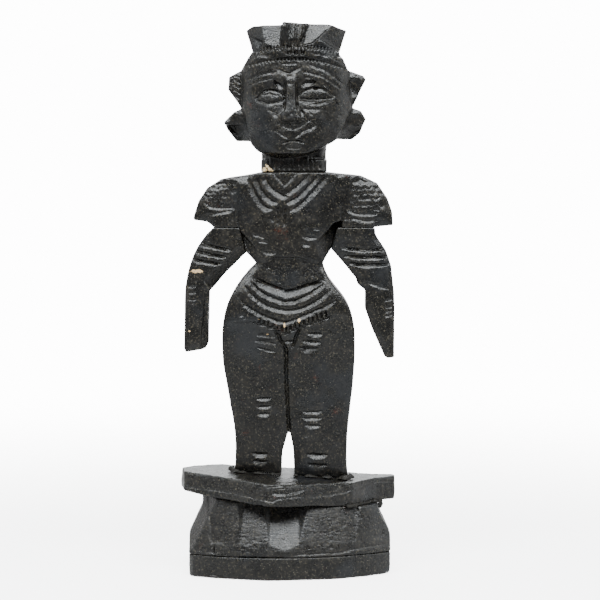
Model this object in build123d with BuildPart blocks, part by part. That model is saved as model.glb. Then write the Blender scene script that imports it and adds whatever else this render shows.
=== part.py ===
from build123d import *

import os

# A carved wooden standing figure on a stepped plinth, blackened all over.
#
# The figure is built up from seven pieces of wood: a head with its neck, a body that runs from the
# shoulders to the feet, two arms, a tilted foot slab with a pointed front, a plinth block with a sloping
# front, and a thin base board. Round pegs, dowels and pins hold them together. Black filler closes the
# joints at the feet and under the slab, and a little pale glue shows beside the neck.
#
# Millimetres. +Z is up, the figure faces -Y, and the origin is under the middle of the base.
# "right" and "left" are the figure's own sides, so its right arm is at -X.

# ---------------------------------------------------------------- driving dimensions
HALF_DEPTH = 19.0  # from the middle to the slab's front point, and to its flat back
SLAB_HALF = 43.6  # half the slab's width; the slab is the widest piece
BOARD_TOP = 9.3  # thickness of the base board
SLOPE_START = 11.0  # height where the plinth's front starts to slope back
SLOPE_END, SLOPE_INSET = 35.0, 5.0  # the slope stands this far back at this height
SHOULDER_TOP = 162.5  # where the neck stands on the body
CROWN_TOP = 222.2
SLEEVE_UNDER = 140.4  # where each arm meets the underside of its sleeve
CENTRE = 2.4  # the head and neck stand this far to the +X side

BODY_BACK = 17.0
ARM_FRONT, ARM_BACK = -2.9, 13.0
HEAD_BACK = 15.5

PLAY = 0.05  # radial clearance of every peg, dowel and pin in its hole
HOLE_END = 1.0  # free space past each end of a peg
NECK_PEG_R, NECK_PEG_HALF = 3.5, 10.0
ARM_PEG_R, ARM_PEG_HALF, ARM_PEG_Y = 2.2, 8.0, 6.5
ARM_PEG_X = {"right": -26.0, "left": 28.0}
DOWEL_R, DOWEL_LOW, DOWEL_HIGH, DOWEL_Y = 2.5, 18.0, 58.0, 10.5
DOWEL_X = (-13.5, 13.5)
PIN_R, PIN_LOW, PIN_HIGH, PIN_Y = 2.0, 3.0, 18.5, 6.0
PIN_X = (-24.0, 24.0)

THROUGH = 60.0  # half length of a shape that reaches right through the figure

# The slab's top is a tilted plane, low at the front and at the +X end.
slab_top = Plane(origin=(-8, 5, 40.9), z_dir=(0.062, -0.0475, 1))
# Its underside runs through these (x, z) points, and the plinth's top fits it.
UNDERSIDE = ((-SLAB_HALF, 34.9), (-33.5, 32.6), (-8, 30.1), (29, 28.4), (SLAB_HALF, 28.4))


# ---------------------------------------------------------------- shared shapes
def peg(radius, x, y, low, high):
    """An upright round peg, or with PLAY added the hole for one."""
    with BuildPart() as rod:
        with Locations((x, y, (low + high) / 2)):
            Cylinder(radius, high - low)
    return rod.part


def peg_hole(radius, x, y, low, high):
    return peg(radius + PLAY, x, y, low - HOLE_END, high + HOLE_END)


def engraved(surface, depth, width, *strokes):
    """Lines cut into a face that looks towards -Y: each stroke is a list of (x, z) points."""
    with BuildPart() as tool:
        with BuildSketch(Plane.XZ.offset(-surface - depth)):
            for points in strokes:
                with BuildLine():
                    if len(points) == 3:
                        ThreePointArc(*points)
                    else:
                        Polyline(*points)
                trace(line_width=width)
        extrude(amount=depth + 4)
    return tool.part


# ---------------------------------------------------------------- carved lines
# (x, z) points of each line:
# three points make an arc, two or more than three make straight strokes
BELT = (
    [(-12.8, 120.0), (0.0, 114.8), (13.2, 119.0)],
    [(-14.6, 118.8), (0.0, 110.8), (14.2, 118.0)],
    [(-17.0, 116.6), (-1.0, 107.4), (16.8, 115.2)],
    [(-19.2, 113.0), (-1.0, 102.8), (19.0, 111.0)],
)
NECKLACE = (
    [(-15.2, 159.8), (-9.6, 149.2), (-5.8, 147.8)],
    [(-12.6, 161.2), (-8.2, 152.6), (-3.8, 150.2)],
    [(-9.2, 161.2), (-4.6, 155.0), (0.0, 152.4)],
    [(0.6, 146.7), (5.6, 150.8), (15.6, 161.8)],
    [(-0.6, 150.2), (5.2, 154.4), (12.0, 161.8)],
    [(-1.2, 153.8), (3.6, 157.0), (8.0, 161.6)],
)
PENDANT = ([(-3.9, 148.8), (-3.7, 141.6)], [(-1.1, 148.2), (-1.6, 141.0)])
CHEST = (
    [(-14.5, 137.8), (-8.9, 136.4)],
    [(-12.9, 134.8), (-7.8, 134.2)],
    [(-10.4, 130.6), (-4.7, 130.3)],
    [(9.5, 139.8), (12.9, 139.5)],
    [(5.6, 136.4), (11.8, 136.3)],
    [(5.3, 133.6), (9.2, 133.4)],
)
FLAP = (
    [(-4.6, 98.6), (-2.4, 94.0), (-0.8, 91.8)],
    [(4.4, 99.6), (2.8, 94.8), (1.6, 92.4)],
    [(-2.0, 94.3), (2.6, 94.9)],
)
THIGH_CREASES = (
    [(-12.8, 97.6), (-5.2, 97.1)],
    [(-13.4, 95.5), (-4.9, 94.6)],
    [(-13.2, 92.9), (-9.0, 91.2), (-4.8, 90.7)],
    [(7.4, 97.9), (14.2, 97.5)],
    [(5.2, 94.8), (13.6, 94.0)],
    [(3.8, 92.1), (12.2, 91.5)],
)
KNEES = (
    [(-12.9, 71.2), (-6.5, 71.6)],
    [(-12.9, 67.9), (-6.5, 68.2)],
    [(-12.5, 64.9), (-6.9, 65.2)],
    [(5.5, 65.9), (14.0, 66.0)],
    [(5.5, 63.3), (13.9, 63.4)],
    [(6.3, 60.3), (13.5, 60.2)],
)
ANKLES = (
    [(-14.5, 49.1), (-8.1, 48.8)],
    [(-14.3, 45.9), (-8.3, 45.6)],
    [(7.5, 48.6), (16.0, 48.4)],
    [(7.9, 44.5), (15.6, 44.2)],
)
SLEEVE_GROOVES = (
    [(-32.4, 149.0), (-27.0, 148.0), (-21.5, 148.2)],
    [(-31.8, 145.3), (-27.0, 146.2), (-22.4, 147.1)],
    [(23.2, 147.8), (29.6, 145.8), (36.4, 145.8)],
    [(24.8, 144.8), (30.8, 143.2), (37.0, 143.3)],
)
# the y of the face that each group of lines is cut into
BODY_STROKES = {
    -4.9: BELT,
    -4.3: NECKLACE + PENDANT,
    -4.2: CHEST,
    -3.2: SLEEVE_GROOVES + FLAP + THIGH_CREASES,
    0.0: KNEES,
    1.0: ANKLES,
}
RIGHT_ARM_BANDS = (
    [(-35.2, 134.4), (-23.0, 131.2)],
    [(-36.6, 131.2), (-24.2, 128.4)],
    [(-37.6, 127.8), (-25.6, 125.6)],
)
LEFT_ARM_BANDS = (
    [(21.0, 132.0), (38.2, 131.8)],
    [(22.0, 128.9), (39.4, 128.7)],
    [(23.6, 125.9), (40.4, 125.7)],
)
EYES = (
    [(-12.8, 191.2), (-6.8, 194.9), (-1.2, 191.7)],
    [(-12.6, 191.0), (-7.0, 190.0), (-1.4, 191.4)],
    [(4.0, 192.2), (11.2, 195.5), (18.2, 192.2)],
    [(4.2, 191.9), (11.0, 191.0), (18.0, 191.9)],
)
MOUTH = ([(-1.8, 173.9), (2.4, 174.9), (6.4, 174.0)],)
CROWN_FLUTES = tuple([(x, 209.0), (x * 1.12 - 0.3, 223.5)] for x in (0.6, 3.2, 5.8))


# ---------------------------------------------------------------- base board
def plinth_plan(z, inset):
    """The plinth's plan at height z: its bowed front stands back by the inset."""
    with BuildSketch(Plane.XY.offset(z)) as plan:
        with BuildLine():
            ThreePointArc((-40.0, -5.3 + inset), (0, -15.2 + inset), (41.4, 1.0 + inset))
            Polyline(
                (41.4, 1.0 + inset), (41.4, 11), (36, 18.4), (-33, 18.4), (-40.0, 10),
                (-40.0, -5.3 + inset),
            )
        make_face()
    return plan.sketch


with BuildPart() as base_board:
    add(plinth_plan(0, 0))
    extrude(amount=BOARD_TOP)
    chamfer(base_board.faces().sort_by(Axis.Z)[0].edges(), 0.6)
    for x in PIN_X:
        add(peg_hole(PIN_R, x, PIN_Y, PIN_LOW, PIN_HIGH), mode=Mode.SUBTRACT)

# ---------------------------------------------------------------- plinth block
with BuildPart() as plinth_block:
    add(plinth_plan(BOARD_TOP, 0))
    extrude(amount=SLOPE_START - BOARD_TOP)
    add(plinth_plan(SLOPE_START, 0))
    add(plinth_plan(SLOPE_END, SLOPE_INSET))
    loft()
    with BuildSketch(Plane.XZ):
        with BuildLine():
            Polyline((-41, 0), (-41, 14), (-39.8, 17.5), (-34.8, 28.0), (-34.8, 32.89), *UNDERSIDE[1:4])
            Polyline(UNDERSIDE[3], (36.5, 28.4), (36.5, 26.5), (41.2, 17.0), (42, 14), (42, 0), (-41, 0))
        make_face()
    extrude(amount=THROUGH, both=True, mode=Mode.INTERSECT)
    for x in PIN_X:
        add(peg_hole(PIN_R, x, PIN_Y, PIN_LOW, PIN_HIGH), mode=Mode.SUBTRACT)
    for x in DOWEL_X:
        add(peg_hole(DOWEL_R, x, DOWEL_Y, DOWEL_LOW, DOWEL_HIGH), mode=Mode.SUBTRACT)

# ---------------------------------------------------------------- foot slab
with BuildPart() as foot_slab:
    with BuildSketch():
        with BuildLine():
            Polyline(
                (-43.2, 3.5),
                (-42.0, -3.0),
                (-24.6, -11.0),
                (-9.0, -HALF_DEPTH),
                (-1.5, -18.2),
                (26.3, -4.0),
                (35.5, 9.5),
                (SLAB_HALF, 14.6),
                (SLAB_HALF, HALF_DEPTH),
                (-30.0, HALF_DEPTH),
                (-SLAB_HALF, 7.0),
                (-43.2, 3.5),
            )
        make_face()
    extrude(amount=THROUGH)
    with BuildSketch(Plane.XZ):
        with BuildLine():
            Polyline(*UNDERSIDE, (SLAB_HALF, THROUGH), (-SLAB_HALF, THROUGH), UNDERSIDE[0])
        make_face()
    extrude(amount=THROUGH, both=True, mode=Mode.INTERSECT)
    split(bisect_by=slab_top, keep=Keep.BOTTOM)
    for x in DOWEL_X:
        add(peg_hole(DOWEL_R, x, DOWEL_Y, DOWEL_LOW, DOWEL_HIGH), mode=Mode.SUBTRACT)

# ---------------------------------------------------------------- body
with BuildPart() as body:
    # front view: shoulders and cap sleeves, waist, hips and legs
    with BuildSketch(Plane.XZ):
        with BuildLine():
            Polyline((-10.5, SHOULDER_TOP), (-26.7, 159.8), (-32.3, 156.2), (-35.9, 151.0), (-38.0, 144.5))
            Polyline(
                (-38.0, 144.5), (-37.8, 143.1), (-32.3, 142.3), (-29.7, SLEEVE_UNDER),
                (-19.4, SLEEVE_UNDER),
            )
            Polyline((-19.4, SLEEVE_UNDER), (-16.6, 130.2), (-12.9, 126.0))
            Spline(
                (-12.9, 126.0), (-19.2, 119.1), (-24.2, 110.2), (-26.7, 92.0), (-24.2, 73.1), (-23.0, 36.0),
            )
            Polyline(
                (-23.0, 36.0), (-2.8, 36.0), (-2.0, 49.7), (0.4, 58.6), (2.0, 49.7), (2.5, 36.0),
                (25.0, 36.0),
            )
            Spline((25.0, 36.0), (24.6, 62.2), (27.0, 94.0), (23.8, 110.2), (17.7, 118.3), (14.1, 126.0))
            Polyline(
                (14.1, 126.0), (17.3, 131.6), (19.7, SLEEVE_UNDER), (34.7, SLEEVE_UNDER), (42.2, 141.0),
            )
            Polyline((42.2, 141.0), (41.9, 146.5), (39.9, 152.0), (35.9, 158.2), (29.4, 161.1))
            Polyline((29.4, 161.1), (16.5, SHOULDER_TOP), (-10.5, SHOULDER_TOP))
        make_face()
    extrude(amount=THROUGH, both=True)
    # side view: the legs lean forward into the belly, and the back is nearly flat
    with BuildSketch(Plane.YZ):
        with BuildLine():
            Spline((1.6, 36.0), (0.6, 60.0), (-1.2, 84.0), (-3.4, 97.0), (-4.9, 110.0), (-3.4, 125.0))
            Polyline(
                (-3.4, 125.0), (-4.5, 138.0), (-4.5, 152.0), (-4.2, SHOULDER_TOP),
                (BODY_BACK - 1, SHOULDER_TOP),
            )
            Polyline(
                (BODY_BACK - 1, SHOULDER_TOP), (BODY_BACK, 148.0), (BODY_BACK - 1.5, 126.0),
                (BODY_BACK, 104.0),
            )
            Polyline((BODY_BACK, 104.0), (BODY_BACK - 0.5, 36.0), (1.6, 36.0))
        make_face()
    extrude(amount=THROUGH, both=True, mode=Mode.INTERSECT)
    # the sleeves stand a little behind the chest
    with BuildSketch(Plane.XZ.offset(3.2)):
        with BuildLine():
            Polyline((-20.5, 138), (-24.0, 158), (-30, 164), (-45, 164), (-45, 138), (-20.5, 138))
        make_face()
        with BuildLine():
            Polyline((21.0, 138), (24.5, 158), (32, 164), (45, 164), (45, 138), (21.0, 138))
        make_face()
    extrude(amount=THROUGH, mode=Mode.SUBTRACT)
    split(bisect_by=slab_top, keep=Keep.TOP)
    for surface, strokes in BODY_STROKES.items():
        add(engraved(surface, 0.8, 1.1, *strokes), mode=Mode.SUBTRACT)
    for x in DOWEL_X:
        add(peg_hole(DOWEL_R, x, DOWEL_Y, DOWEL_LOW, DOWEL_HIGH), mode=Mode.SUBTRACT)
    add(
        peg_hole(NECK_PEG_R, CENTRE, 8.5, SHOULDER_TOP - NECK_PEG_HALF, SHOULDER_TOP + NECK_PEG_HALF),
        mode=Mode.SUBTRACT,
    )
    for x in ARM_PEG_X.values():
        add(
            peg_hole(ARM_PEG_R, x, ARM_PEG_Y, SLEEVE_UNDER - ARM_PEG_HALF, SLEEVE_UNDER + ARM_PEG_HALF),
            mode=Mode.SUBTRACT,
        )


# ---------------------------------------------------------------- arms
with BuildPart() as right_arm:
    with BuildSketch(Plane.XZ.offset(-ARM_BACK)):
        with BuildLine():
            Spline((-29.7, SLEEVE_UNDER), (-34.9, 134.8), (-39.0, 126.8), (-41.6, 105.8), (-41.9, 92.0))
            Polyline(
                (-41.9, 92.0), (-41.2, 90.1), (-33.1, 91.7), (-31.9, 93.5), (-31.5, 114.7), (-29.1, 117.1),
            )
            Polyline(
                (-29.1, 117.1), (-24.6, 122.3), (-16.6, 130.2), (-19.4, SLEEVE_UNDER),
                (-29.7, SLEEVE_UNDER),
            )
        make_face()
    extrude(amount=ARM_BACK - ARM_FRONT)
    add(engraved(ARM_FRONT, 0.7, 1.0, *RIGHT_ARM_BANDS), mode=Mode.SUBTRACT)
    add(
        peg_hole(
            ARM_PEG_R, ARM_PEG_X["right"], ARM_PEG_Y, SLEEVE_UNDER - ARM_PEG_HALF,
            SLEEVE_UNDER + ARM_PEG_HALF,
        ),
        mode=Mode.SUBTRACT,
    )

with BuildPart() as left_arm:
    with BuildSketch(Plane.XZ.offset(-ARM_BACK)):
        with BuildLine():
            Polyline(
                (34.7, SLEEVE_UNDER), (34.9, 137.9), (39.5, 130.8), (41.5, 125.0), (42.7, 114.3),
                (42.7, 88.1),
            )
            Polyline((42.7, 88.1), (39.7, 87.7), (38.7, 88.5), (33.8, 99.3), (30.9, 107.8), (30.8, 115.1))
            Polyline(
                (30.8, 115.1), (27.8, 117.5), (27.0, 120.1), (17.3, 131.6), (19.7, SLEEVE_UNDER),
                (34.7, SLEEVE_UNDER),
            )
        make_face()
    extrude(amount=ARM_BACK - ARM_FRONT)
    add(engraved(ARM_FRONT, 0.7, 1.0, *LEFT_ARM_BANDS), mode=Mode.SUBTRACT)
    add(
        peg_hole(
            ARM_PEG_R, ARM_PEG_X["left"], ARM_PEG_Y, SLEEVE_UNDER - ARM_PEG_HALF,
            SLEEVE_UNDER + ARM_PEG_HALF,
        ),
        mode=Mode.SUBTRACT,
    )

# ---------------------------------------------------------------- head
with BuildPart() as neck:
    with BuildSketch(Plane.XY.offset(SHOULDER_TOP)):
        with Locations((CENTRE, 8.5)):
            RectangleRounded(26.6, 14.0, 5.0)
    extrude(amount=14)

with BuildPart() as face:
    with BuildSketch(Plane.XZ):
        with BuildLine():
            Polyline((-16.2, 208), (-18.3, 203.0), (-18.3, 187.6), (-15.0, 174.0))
            Spline((-15.0, 174.0), (-8.9, 169.0), (-0.8, 168.2), (8.0, 169.8), (19.3, 175.2))
            Polyline((19.3, 175.2), (25.7, 187.2), (24.2, 203.0), (22.0, 208), (-16.2, 208))
        make_face()
    extrude(amount=THROUGH, both=True)
    with BuildSketch(Plane.XY.offset(160)):
        with BuildLine():
            Spline(
                (-19.5, 6), (-15.5, -1.2), (-7.0, -5.4), (3.0, -6.5), (13.0, -5.4), (22.5, -1.2), (26.5, 6),
            )
            Polyline((26.5, 6), (26.5, HEAD_BACK), (-19.5, HEAD_BACK), (-19.5, 6))
        make_face()
    extrude(amount=THROUGH, mode=Mode.INTERSECT)
    with BuildSketch(Plane.YZ):
        with BuildLine():
            Polyline(
                (-4.6, 209), (-5.2, 200), (-4.9, 192), (-5.8, 178), (-4.5, 170), (0.5, 167),
                (HEAD_BACK, 167),
            )
            Polyline((HEAD_BACK, 167), (HEAD_BACK, 209), (-4.6, 209))
        make_face()
    extrude(amount=THROUGH, both=True, mode=Mode.INTERSECT)

with BuildPart() as nose:
    with BuildSketch(Plane.YZ):
        with BuildLine():
            Polyline((-5.6, 200.5), (-6.5, 197.0), (-7.0, 187.2), (-8.0, 185.2), (-7.8, 182.8), (-3.0, 182.2))
            Polyline((-3.0, 182.2), (-2.0, 200.5), (-5.6, 200.5))
        make_face()
    extrude(amount=THROUGH, both=True)
    with BuildSketch(Plane.XZ):
        with BuildLine():
            Polyline((-0.6, 201), (2.9, 201), (3.3, 187.2), (5.2, 185.4), (5.1, 183.4), (3.4, 182.2))
            Polyline((3.4, 182.2), (-1.4, 182.2), (-2.8, 183.4), (-2.9, 185.4), (-1.0, 187.2), (-0.6, 201))
        make_face()
    extrude(amount=THROUGH, both=True, mode=Mode.INTERSECT)

with BuildPart() as headband:
    with BuildSketch(Plane.XZ):
        with BuildLine():
            ThreePointArc((-18.8, 203.4), (1.6, 207.9), (24.6, 202.6))
            Line((24.6, 202.6), (20.4, 210.2))
            ThreePointArc((20.4, 210.2), (2.2, 212.4), (-14.8, 210.0))
            Line((-14.8, 210.0), (-18.8, 203.4))
        make_face()
    extrude(amount=THROUGH, both=True)
    with BuildSketch(Plane.XY.offset(200)):
        with BuildLine():
            Spline(
                (-19.4, 6), (-15.4, -0.8), (-7.0, -5.0), (3.0, -6.1), (12.6, -5.0), (21.2, -0.8), (25.0, 6),
            )
            Polyline((25.0, 6), (23.0, HEAD_BACK), (-17.5, HEAD_BACK), (-19.4, 6))
        make_face()
    extrude(amount=THROUGH, mode=Mode.INTERSECT)

with BuildPart() as crown:
    with BuildSketch(Plane.XZ):
        with BuildLine():
            Polyline(
                (-13.7, 208.5), (-17.0, 219.1), (-14.1, 220.7), (-2.2, 221.2), (-2.2, CROWN_TOP),
                (8.8, 221.6),
            )
            Polyline((8.8, 221.6), (16.1, 221.4), (23.7, 219.1), (20.1, 208.5), (-13.7, 208.5))
        make_face()
    extrude(amount=THROUGH, both=True)
    with BuildSketch(Plane.XY.offset(200)):
        with BuildLine():
            Polyline((-18, 9), (-9.5, -1.5), (-2.2, -4), (8.8, -4), (16.1, -1.5), (25, 9), (23, HEAD_BACK))
            Polyline((23, HEAD_BACK), (-16, HEAD_BACK), (-18, 9))
        make_face()
    extrude(amount=THROUGH, mode=Mode.INTERSECT)
    with BuildSketch(Plane.YZ):
        with BuildLine():
            Polyline(
                (-0.5, 208), (-4.2, 221), (-3.5, CROWN_TOP), (HEAD_BACK, CROWN_TOP), (HEAD_BACK - 1.5, 208),
                (-0.5, 208),
            )
        make_face()
    extrude(amount=THROUGH, both=True, mode=Mode.INTERSECT)

with BuildPart() as ears:
    with BuildSketch(Plane.XZ.offset(-13.5)):
        with BuildLine():
            Polyline(
                (-16, 205), (-19.0, 203.0), (-23.8, 200.6), (-24.2, 195.3), (-18.6, 187.7), (-21.8, 186.5),
            )
            Polyline(
                (-21.8, 186.5), (-25.9, 182.4), (-24.6, 179.2), (-20.6, 174.6), (-14, 174.6), (-14, 205),
                (-16, 205),
            )
        make_face()
        with BuildLine():
            Polyline((22, 204), (30.2, 201.0), (31.4, 199.4), (25.8, 188.1), (29.4, 186.9), (31.4, 183.6))
            Polyline((31.4, 183.6), (29.0, 178.0), (25.8, 175.2), (18, 175.4), (18, 204), (22, 204))
        make_face()
    extrude(amount=9.5)

with BuildPart() as head:
    for feature in (neck, face, nose, headband, crown, ears):
        add(feature.part)
    add(engraved(-4.4, 0.6, 0.8, *EYES), mode=Mode.SUBTRACT)
    add(engraved(-5.1, 0.8, 0.8, *MOUTH), mode=Mode.SUBTRACT)
    add(engraved(-3.0, 0.8, 1.2, *CROWN_FLUTES), mode=Mode.SUBTRACT)
    add(
        peg_hole(NECK_PEG_R, CENTRE, 8.5, SHOULDER_TOP - NECK_PEG_HALF, SHOULDER_TOP + NECK_PEG_HALF),
        mode=Mode.SUBTRACT,
    )

# ---------------------------------------------------------------- pegs, dowels and pins
with BuildPart() as neck_peg:
    add(peg(NECK_PEG_R, CENTRE, 8.5, SHOULDER_TOP - NECK_PEG_HALF, SHOULDER_TOP + NECK_PEG_HALF))

with BuildPart() as right_arm_peg:
    add(
        peg(
            ARM_PEG_R, ARM_PEG_X["right"], ARM_PEG_Y, SLEEVE_UNDER - ARM_PEG_HALF,
            SLEEVE_UNDER + ARM_PEG_HALF,
        ),
    )

with BuildPart() as left_arm_peg:
    add(
        peg(
            ARM_PEG_R, ARM_PEG_X["left"], ARM_PEG_Y, SLEEVE_UNDER - ARM_PEG_HALF,
            SLEEVE_UNDER + ARM_PEG_HALF,
        ),
    )

with BuildPart() as foot_dowels:
    for x in DOWEL_X:
        add(peg(DOWEL_R, x, DOWEL_Y, DOWEL_LOW, DOWEL_HIGH))

with BuildPart() as base_pins:
    for x in PIN_X:
        add(peg(PIN_R, x, PIN_Y, PIN_LOW, PIN_HIGH))

# ---------------------------------------------------------------- filler and glue
with BuildPart() as foot_filler:
    with Locations((-22.2, 2.9, 41.9), (24.4, 2.7, 38.8)):
        Sphere(2.6)
    split(bisect_by=slab_top, keep=Keep.TOP)
    add(body.part, mode=Mode.SUBTRACT)

with BuildPart() as plinth_filler:
    with Locations((36.6, 10.5, 27.2)):
        Sphere(2.4)
    add(plinth_block.part, mode=Mode.SUBTRACT)
    add(foot_slab.part, mode=Mode.SUBTRACT)

with BuildPart() as neck_glue:
    with Locations((-8.6, 3.4, 163.2)):
        Sphere(2.0)
    add(head.part, mode=Mode.SUBTRACT)
    add(body.part, mode=Mode.SUBTRACT)

# ---------------------------------------------------------------- export
pieces = {
    "base_board": base_board.part,
    "plinth_block": plinth_block.part,
    "foot_slab": foot_slab.part,
    "body": body.part,
    "right_arm": right_arm.part,
    "left_arm": left_arm.part,
    "head": head.part,
    "neck_peg": neck_peg.part,
    "right_arm_peg": right_arm_peg.part,
    "left_arm_peg": left_arm_peg.part,
    "foot_dowels": foot_dowels.part,
    "base_pins": base_pins.part,
    "foot_filler": foot_filler.part,
    "plinth_filler": plinth_filler.part,
    "neck_glue": neck_glue.part,
}
os.makedirs("parts", exist_ok=True)
for name, piece in pieces.items():
    piece.label = name
    export_step(piece, f"parts/{name}.step")
    print(name, "solids", len(piece.solids()), "volume", round(piece.volume, 1))
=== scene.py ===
"""The carved standing figure, finished: every wooden piece is carved from its CAD blank, then painted."""

import math

import bpy
import numpy as np
import openvdb
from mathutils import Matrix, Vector


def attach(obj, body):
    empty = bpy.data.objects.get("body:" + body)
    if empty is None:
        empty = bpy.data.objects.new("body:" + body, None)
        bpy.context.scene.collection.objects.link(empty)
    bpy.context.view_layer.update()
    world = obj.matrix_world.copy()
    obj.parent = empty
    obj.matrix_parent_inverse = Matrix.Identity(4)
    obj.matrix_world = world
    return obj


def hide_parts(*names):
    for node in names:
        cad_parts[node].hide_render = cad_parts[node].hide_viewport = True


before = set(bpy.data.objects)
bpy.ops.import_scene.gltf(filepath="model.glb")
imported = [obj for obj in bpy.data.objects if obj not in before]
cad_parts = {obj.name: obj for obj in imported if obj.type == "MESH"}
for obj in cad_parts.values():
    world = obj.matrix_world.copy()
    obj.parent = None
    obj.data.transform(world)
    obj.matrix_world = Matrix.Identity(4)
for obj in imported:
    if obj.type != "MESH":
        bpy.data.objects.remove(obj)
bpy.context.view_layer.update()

scene = bpy.context.scene
MM = 0.001
BAND = 6  # half width of the distance field, in cells
COARSE = 3  # how many times coarser a neighbour's field is
MARGIN = 5  # free cells round a piece
FAR = 1e3  # further than anything on the figure, in millimetres
DEEP = 99  # an inset that no bevel reaches, in millimetres


# -------- the wood and its field
def blurred(grid):
    out = grid.copy()
    for _ in range(2):
        out[1:-1] = 0.25 * out[:-2] + 0.5 * out[1:-1] + 0.25 * out[2:]
        out[:, 1:-1] = 0.25 * out[:, :-2] + 0.5 * out[:, 1:-1] + 0.25 * out[:, 2:]
    return out


def spread(grid, steps, choose):
    """The least or greatest value around each cell, out to a number of steps each way."""
    out = grid.copy()
    for _ in range(steps):
        out[1:-1] = choose(choose(out[:-2], out[2:]), out[1:-1])
        out[:, 1:-1] = choose(choose(out[:, :-2], out[:, 2:]), out[:, 1:-1])
    return out


class Blank:
    """A CAD node as a field of signed distances in millimetres, negative inside, that tools cut into."""

    def __init__(self, node, cell, touches=(), room=0.0):
        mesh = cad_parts[node].data
        mesh.calc_loop_triangles()
        corners = np.empty(len(mesh.vertices) * 3, np.float32)
        mesh.vertices.foreach_get("co", corners)
        corners = corners.reshape(-1, 3) / MM
        triangles = np.empty(len(mesh.loop_triangles) * 3, np.int32)
        mesh.loop_triangles.foreach_get("vertices", triangles)
        self.node = node
        self.cell = cell
        self.transform = openvdb.createLinearTransform(voxelSize=cell)
        grid = openvdb.FloatGrid.createLevelSetFromPolygons(
            corners,
            triangles=triangles.reshape(-1, 3).astype(np.uint32),
            transform=self.transform,
            halfWidth=BAND,
        )
        low = np.floor((corners.min(0) - room) / cell).astype(int) - MARGIN
        high = np.ceil((corners.max(0) + room) / cell).astype(int) + MARGIN
        self.low = tuple(int(v) for v in low)
        self.field = np.empty(tuple(high - low + 1), np.float32)
        grid.copyToArray(self.field, ijk=self.low)
        self.x, self.y, self.z = (
            (low[i] + np.arange(self.field.shape[i])).astype(np.float32) * cell for i in range(3)
        )
        self.X, self.Z = np.meshgrid(self.x, self.z, indexing="ij")
        # how far each cell is from the pieces this one is fitted against, whose joints stay tight
        self.apart = np.full(self.field.shape, FAR, np.float32)
        for other in touches:
            np.minimum(self.apart, self.beside(other), out=self.apart)

    def grid(self):
        grid = openvdb.FloatGrid(BAND * self.cell)
        grid.transform = self.transform
        grid.copyFromArray(self.field, ijk=self.low)
        return grid

    def measure(self):
        """Makes the field true distances again after it has been cut or filled."""
        points, triangles, quads = self.grid().convertToPolygons(isovalue=0.0, adaptivity=0.0)
        fresh = openvdb.FloatGrid.createLevelSetFromPolygons(
            points, triangles=triangles, quads=quads, transform=self.transform, halfWidth=BAND
        )
        fresh.copyToArray(self.field, ijk=self.low)

    def heal(self, reach, deepest):
        """Fills lines cut into the front that are narrower than twice the reach, to carve them afresh."""
        skin = np.nan_to_num(self.skin(), nan=FAR)
        steps = round(reach / self.cell)
        closed = spread(spread(skin, steps, np.minimum), steps, np.maximum)
        filled = (skin - closed > 0.03) & (skin - closed < deepest)
        y = self.y[None, :, None]
        patch = np.maximum(closed[:, None, :] - y, y - skin[:, None, :] - self.cell)
        np.minimum(self.field, np.where(filled[:, None, :], patch, FAR), out=self.field)

    def beside(self, node):
        """How far each cell is outside another CAD node, up to a few millimetres."""
        other = Blank(node, COARSE * self.cell)
        field = other.field
        for axis, (mine, theirs) in enumerate(zip((self.x, self.y, self.z), (other.x, other.y, other.z))):
            spot = np.clip((mine - theirs[0]) / other.cell, 0, len(theirs) - 1.001)
            low = spot.astype(int)
            share = (spot - low).reshape([-1 if a == axis else 1 for a in range(3)]).astype(np.float32)
            field = np.take(field, low, axis) * (1 - share) + np.take(field, low + 1, axis) * share
        return field

    def slice_off(self, point, normal):
        """Saws off what lies beyond a plane."""
        n = Vector(normal).normalized()
        beyond = (
            (n.x * (self.x - point[0]))[:, None, None]
            + (n.y * (self.y - point[1]))[None, :, None]
            + (n.z * (self.z - point[2]))[None, None, :]
        )
        np.maximum(self.field, beyond, out=self.field)

    def skin(self, back=False):
        """The y of the front (or back) surface over the (x, z) grid, NaN where there's no wood."""
        field = self.field[:, ::-1, :] if back else self.field
        y = self.y[::-1] if back else self.y
        inside = field < 0
        first = inside.argmax(axis=1)
        i, k = np.indices(first.shape)
        before = np.maximum(first - 1, 0)
        near, far = field[i, first, k], field[i, before, k]
        share = near / np.where(np.abs(near - far) < 1e-6, 1, near - far)
        return np.where(inside.any(axis=1), y[first] + (y[before] - y[first]) * share, np.nan)

    def inset(self):
        """How far each (x, z) column is inside the outline seen from the front, good to 12 millimetres."""
        solid = (self.field < 0).any(axis=1)
        gap = np.full(solid.shape, FAR, np.float32)
        for order in (range(solid.shape[0]), range(solid.shape[0] - 1, -1, -1)):
            run = np.zeros(solid.shape[1], np.float32)
            for i in order:
                run = np.where(solid[i], run + self.cell, 0)
                gap[i] = np.minimum(gap[i], run)
        best = gap**2
        for step in range(1, int(12 / self.cell)):
            rise = (step * self.cell) ** 2
            best[:, step:] = np.minimum(best[:, step:], gap[:, :-step] ** 2 + rise)
            best[:, :-step] = np.minimum(best[:, :-step], gap[:, step:] ** 2 + rise)
        return blurred(np.sqrt(best))

    def relief(self, depth, back=False):
        """Carves the front (or back) down by a depth map, in millimetres."""
        skin = self.skin(back)
        deeper = skin - depth if back else skin + depth
        gx, gz = np.gradient(np.where(np.isnan(deeper), 0, deeper), self.cell)
        slope = 1 / np.sqrt(1 + np.minimum(gx**2 + gz**2, 9))
        cut = (deeper[:, None, :] - self.y[None, :, None]) * slope[:, None, :]
        if back:
            cut = -cut
        touched = (depth > 0.01) & ~np.isnan(deeper)
        np.maximum(self.field, np.where(touched[:, None, :], cut, -FAR), out=self.field)

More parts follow.
